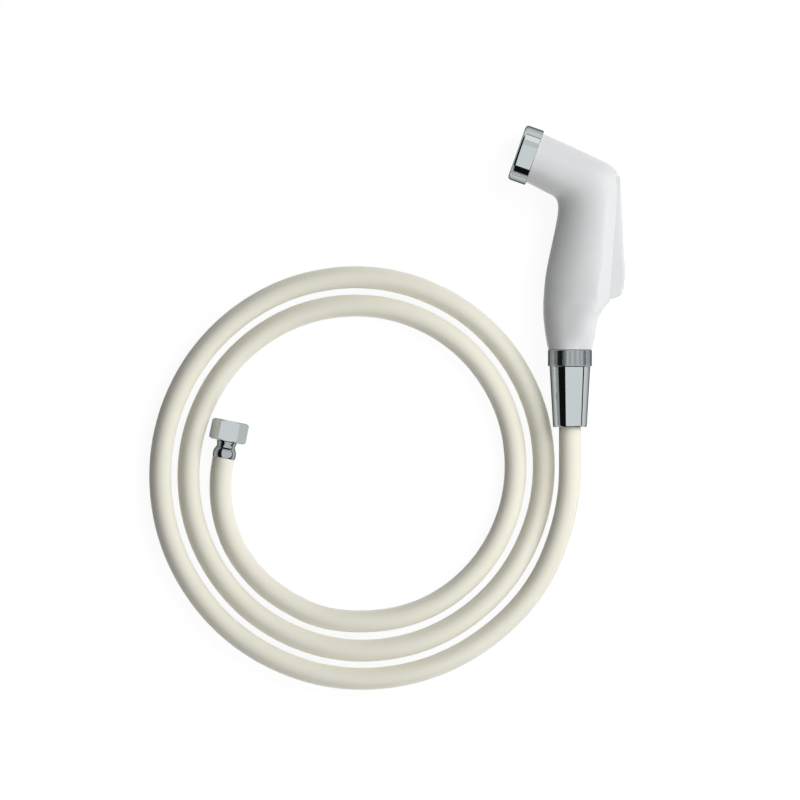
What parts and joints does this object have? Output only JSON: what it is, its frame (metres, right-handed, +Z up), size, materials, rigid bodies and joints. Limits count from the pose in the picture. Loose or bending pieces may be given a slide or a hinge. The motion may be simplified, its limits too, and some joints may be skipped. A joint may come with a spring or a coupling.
{
  "type": "handheld bidet shower",
  "caption": "Handheld bidet shower: white angled handset with a thumb lever, chrome nozzle ring and tapered nut, and a coiled smooth hose with a hex nut for the wall valve.",
  "frame": {"origin": "centre of the handset's bounding box, on the surface that the object lies on", "axes": "+Y along the hose's line through the grip towards the spray head, +X towards the thumb lever, +Z up from the surface, square to the handset's mid plane"},
  "size_m": [0.3239, 0.3839, 0.039],
  "materials": {
    "white_shell": "gloss",
    "chrome_plate": "polished",
    "grey_face": "satin",
    "black_rubber": "matte",
    "steel": "brushed",
    "inner_moulding": "matte",
    "brass": "machined",
    "cream_pvc": "satin"
  },
  "bodies": {
    "handset": {"handset_body": "white_shell", "nozzle_ring": "chrome_plate", "spray_face": "grey_face", "nozzle_seal": "black_rubber", "lever_pin": "steel", "valve_body": "inner_moulding", "riser_tube": "inner_moulding", "valve_gland": "brass", "gland_o_ring": "black_rubber", "stem_o_ring": "black_rubber", "valve_seat": "inner_moulding", "valve_spring": "steel", "inlet_spigot": "brass", "inlet_collar": "chrome_plate", "conical_nut": "chrome_plate", "handset_washer": "black_rubber", "handset_tail": "brass", "handset_ferrule": "steel", "hose": "cream_pvc", "wall_ferrule": "chrome_plate", "wall_tail": "brass", "wall_washer": "black_rubber"},
    "lever": {"thumb_lever": "white_shell"},
    "stem": {"valve_stem": "brass", "valve_seal": "black_rubber"},
    "wall_nut": {"hex_nut": "chrome_plate"}
  },
  "joints": [
    {"name": "lever_press", "type": "hinge", "parent": "handset", "child": "lever", "pos_m": [0.02969, 0.06041, 0.0195], "axis": [0, 0, -1], "range_deg": [0, 4], "stiffness_Nm_per_rad": 4, "springref_deg": -3.44},
    {"name": "stem_slide", "type": "slide", "parent": "handset", "child": "stem", "axis": [-0.9976, 0.0698, 0], "range_m": [0, 0.0034], "deforming": ["valve_spring"]},
    {"name": "wall_nut_spin", "type": "hinge", "parent": "handset", "child": "wall_nut", "pos_m": [-0.22963, -0.10526, 0.011], "axis": [0.1984, 0.9801, 0], "continuous": true}
  ],
  "couplings": [
    {"joint": "stem_slide", "follows": "lever_press", "m_per_rad": 0.048}
  ]
}
